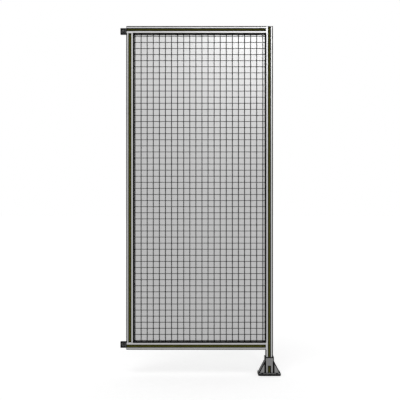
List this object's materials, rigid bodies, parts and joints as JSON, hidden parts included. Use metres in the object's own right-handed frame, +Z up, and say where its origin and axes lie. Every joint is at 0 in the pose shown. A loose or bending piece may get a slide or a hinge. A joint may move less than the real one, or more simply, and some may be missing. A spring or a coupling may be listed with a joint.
{
  "type": "machine guard fence panel",
  "caption": "Machine guard fence panel: T-slot aluminium frame filled with sheet-backed welded wire mesh, a post in a cast floor foot, and brackets that join it to the next panel.",
  "frame": {"origin": "centre of the underside of the post's foot, on the floor and on the post's axis", "axes": "+Z up along the post, -X along the panel from the post towards its joining brackets, -Y towards the front, where the mesh is"},
  "size_m": [1.003, 0.1, 2.173],
  "materials": {
    "profile": "satin anodised extrusion",
    "mesh_wire": "dark powder-coated welded wire",
    "sheet": "satin grey sheet",
    "gasket": "black rubber channel",
    "cap": "black moulded plastic",
    "foot": "matt grey die-casting",
    "bracket": "black powder-coated casting",
    "fixing": "dark oxide steel"
  },
  "bodies": {
    "root": {"post": "profile", "left_stile": "profile", "top_rail": "profile", "bottom_rail": "profile", "mesh_lower": "mesh_wire", "mesh_middle": "mesh_wire", "mesh_upper": "mesh_wire", "backing_sheet": "sheet", "gasket_left": "gasket", "gasket_right": "gasket", "gasket_top": "gasket", "gasket_bottom": "gasket", "post_cap": "cap", "top_rail_cap": "cap", "bottom_rail_cap": "cap", "post_foot": "foot", "upper_bracket": "bracket", "upper_fixed_screw": "fixing", "upper_fixed_nut": "fixing", "upper_free_screw": "fixing", "lower_bracket": "bracket", "lower_fixed_screw": "fixing", "lower_fixed_nut": "fixing", "lower_free_screw": "fixing"}
  },
  "joints": []
}
